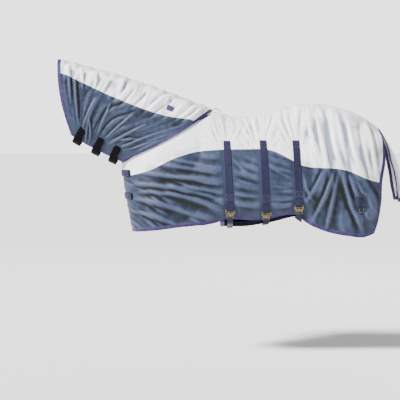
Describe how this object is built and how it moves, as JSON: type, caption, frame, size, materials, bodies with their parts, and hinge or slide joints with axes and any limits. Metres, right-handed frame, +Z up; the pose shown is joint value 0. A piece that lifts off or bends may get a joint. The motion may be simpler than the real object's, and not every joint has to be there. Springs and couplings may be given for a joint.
{
  "type": "fly sheet",
  "caption": "Two-tone mesh fly sheet for a horse, with a neck cover closed under the throat, a belly wrap on clasps and a tail flap.",
  "frame": {"origin": "on the spine line at the withers, where the horse's back carries the sheet", "axes": "+X from head to tail, +Y to the horse's right, +Z up"},
  "size_m": [2.2751, 0.642, 1.162],
  "materials": {
    "upper_mesh": "open woven mesh, light grey white, matt",
    "lower_mesh": "open woven mesh, slate navy, matt",
    "wrap_mesh": "close woven mesh, dark navy, matt",
    "binding": "woven tape, purple navy, slight sheen",
    "label": "plain woven patch, purple grey",
    "webbing": "nylon webbing, purple navy",
    "hook_loop": "hook and loop tape, black, matt",
    "hardware": "antique brass plating, satin"
  },
  "bodies": {
    "body_sheet": {"left_upper_panel": "upper_mesh", "right_upper_panel": "upper_mesh", "left_lower_panel": "lower_mesh", "right_lower_panel": "lower_mesh", "spine_tape": "upper_mesh", "left_hem_binding": "binding", "right_hem_binding": "binding", "left_collar_binding": "binding", "right_collar_binding": "binding", "surcingle_strap_1": "webbing", "surcingle_strap_2": "webbing", "surcingle_strap_3": "webbing", "belly_wrap": "wrap_mesh", "wrap_front_binding": "binding", "wrap_rear_binding": "binding", "chest_pad_1": "hook_loop", "chest_pad_2": "hook_loop", "left_leg_patch": "webbing", "right_leg_patch": "webbing", "withers_patch": "webbing"},
    "neck_cover": {"left_neck_upper": "upper_mesh", "right_neck_upper": "upper_mesh", "left_neck_lower": "lower_mesh", "right_neck_lower": "lower_mesh", "left_neck_binding": "binding", "right_neck_binding": "binding", "crest_tape": "upper_mesh", "neck_label": "label", "throat_pad_1": "hook_loop", "throat_pad_2": "hook_loop", "throat_pad_3": "hook_loop"},
    "throat_strap_1": {"throat_strap_1": "hook_loop"},
    "throat_strap_2": {"throat_strap_2": "hook_loop"},
    "throat_strap_3": {"throat_strap_3": "hook_loop"},
    "clasp_1": {"slot_plate_1": "hardware", "t_hook_1": "hardware", "belly_strap_1": "webbing"},
    "clasp_2": {"slot_plate_2": "hardware", "t_hook_2": "hardware", "belly_strap_2": "webbing"},
    "clasp_3": {"slot_plate_3": "hardware", "t_hook_3": "hardware", "belly_strap_3": "webbing"},
    "chest_tongue_1": {"chest_strap_1": "webbing"},
    "chest_tongue_2": {"chest_strap_2": "webbing"},
    "tail_flap": {"tail_flap": "upper_mesh", "tail_flap_binding": "binding"},
    "left_leg_ring": {"left_leg_ring": "hardware"},
    "right_leg_ring": {"right_leg_ring": "hardware"},
    "withers_ring": {"withers_ring": "hardware"}
  },
  "joints": [
    {"name": "neck_lift", "type": "hinge", "parent": "body_sheet", "child": "neck_cover", "pos_m": [0, 0, 0.01], "axis": [0, 1, 0], "range_deg": [0, 15]},
    {"name": "tail_lift", "type": "hinge", "parent": "body_sheet", "child": "tail_flap", "pos_m": [1.105, 0, -0.124], "axis": [0, -1, 0], "range_deg": [0, 70]},
    {"name": "throat_strap_1_open", "type": "hinge", "parent": "neck_cover", "child": "throat_strap_1", "pos_m": [-0.8674, 0.1076, -0.1423], "axis": [0.8623, 0, -0.5065], "range_deg": [0, 100]},
    {"name": "throat_strap_2_open", "type": "hinge", "parent": "neck_cover", "child": "throat_strap_2", "pos_m": [-0.7471, 0.1151, -0.2095], "axis": [0.888, 0, -0.4599], "range_deg": [0, 100]},
    {"name": "throat_strap_3_open", "type": "hinge", "parent": "neck_cover", "child": "throat_strap_3", "pos_m": [-0.637, 0.1262, -0.2628], "axis": [0.9114, 0, -0.4116], "range_deg": [0, 100]},
    {"name": "clasp_1_swing", "type": "hinge", "parent": "body_sheet", "child": "clasp_1", "pos_m": [0.1076, -0.2705, -0.6328], "axis": [-0.9967, 0.0813, 0], "range_deg": [0, 12]},
    {"name": "clasp_2_swing", "type": "hinge", "parent": "body_sheet", "child": "clasp_2", "pos_m": [0.3418, -0.2768, -0.6455], "axis": [-0.9999, -0.0125, 0], "range_deg": [0, 12]},
    {"name": "clasp_3_swing", "type": "hinge", "parent": "body_sheet", "child": "clasp_3", "pos_m": [0.5517, -0.2866, -0.6041], "axis": [-0.9976, 0.0687, 0], "range_deg": [0, 12]},
    {"name": "chest_tongue_1_open", "type": "hinge", "parent": "body_sheet", "child": "chest_tongue_1", "pos_m": [-0.545, 0.149, -0.4004], "axis": [0, 0, -1], "range_deg": [0, 60]},
    {"name": "chest_tongue_2_open", "type": "hinge", "parent": "body_sheet", "child": "chest_tongue_2", "pos_m": [-0.529, 0.1525, -0.5495], "axis": [0, 0, -1], "range_deg": [0, 60]},
    {"name": "left_leg_ring_swing", "type": "hinge", "parent": "body_sheet", "child": "left_leg_ring", "pos_m": [0.9544, -0.2738, -0.6249], "axis": [-0.9792, -0.2031, 0], "range_deg": [0, 60]},
    {"name": "right_leg_ring_swing", "type": "hinge", "parent": "body_sheet", "child": "right_leg_ring", "pos_m": [0.9544, 0.2738, -0.6249], "axis": [0.9792, -0.2031, 0], "range_deg": [0, 60]},
    {"name": "withers_ring_swing", "type": "hinge", "parent": "body_sheet", "child": "withers_ring", "pos_m": [0.025, 0, 0.0236], "axis": [0, 1, 0], "range_deg": [0, 80]}
  ]
}
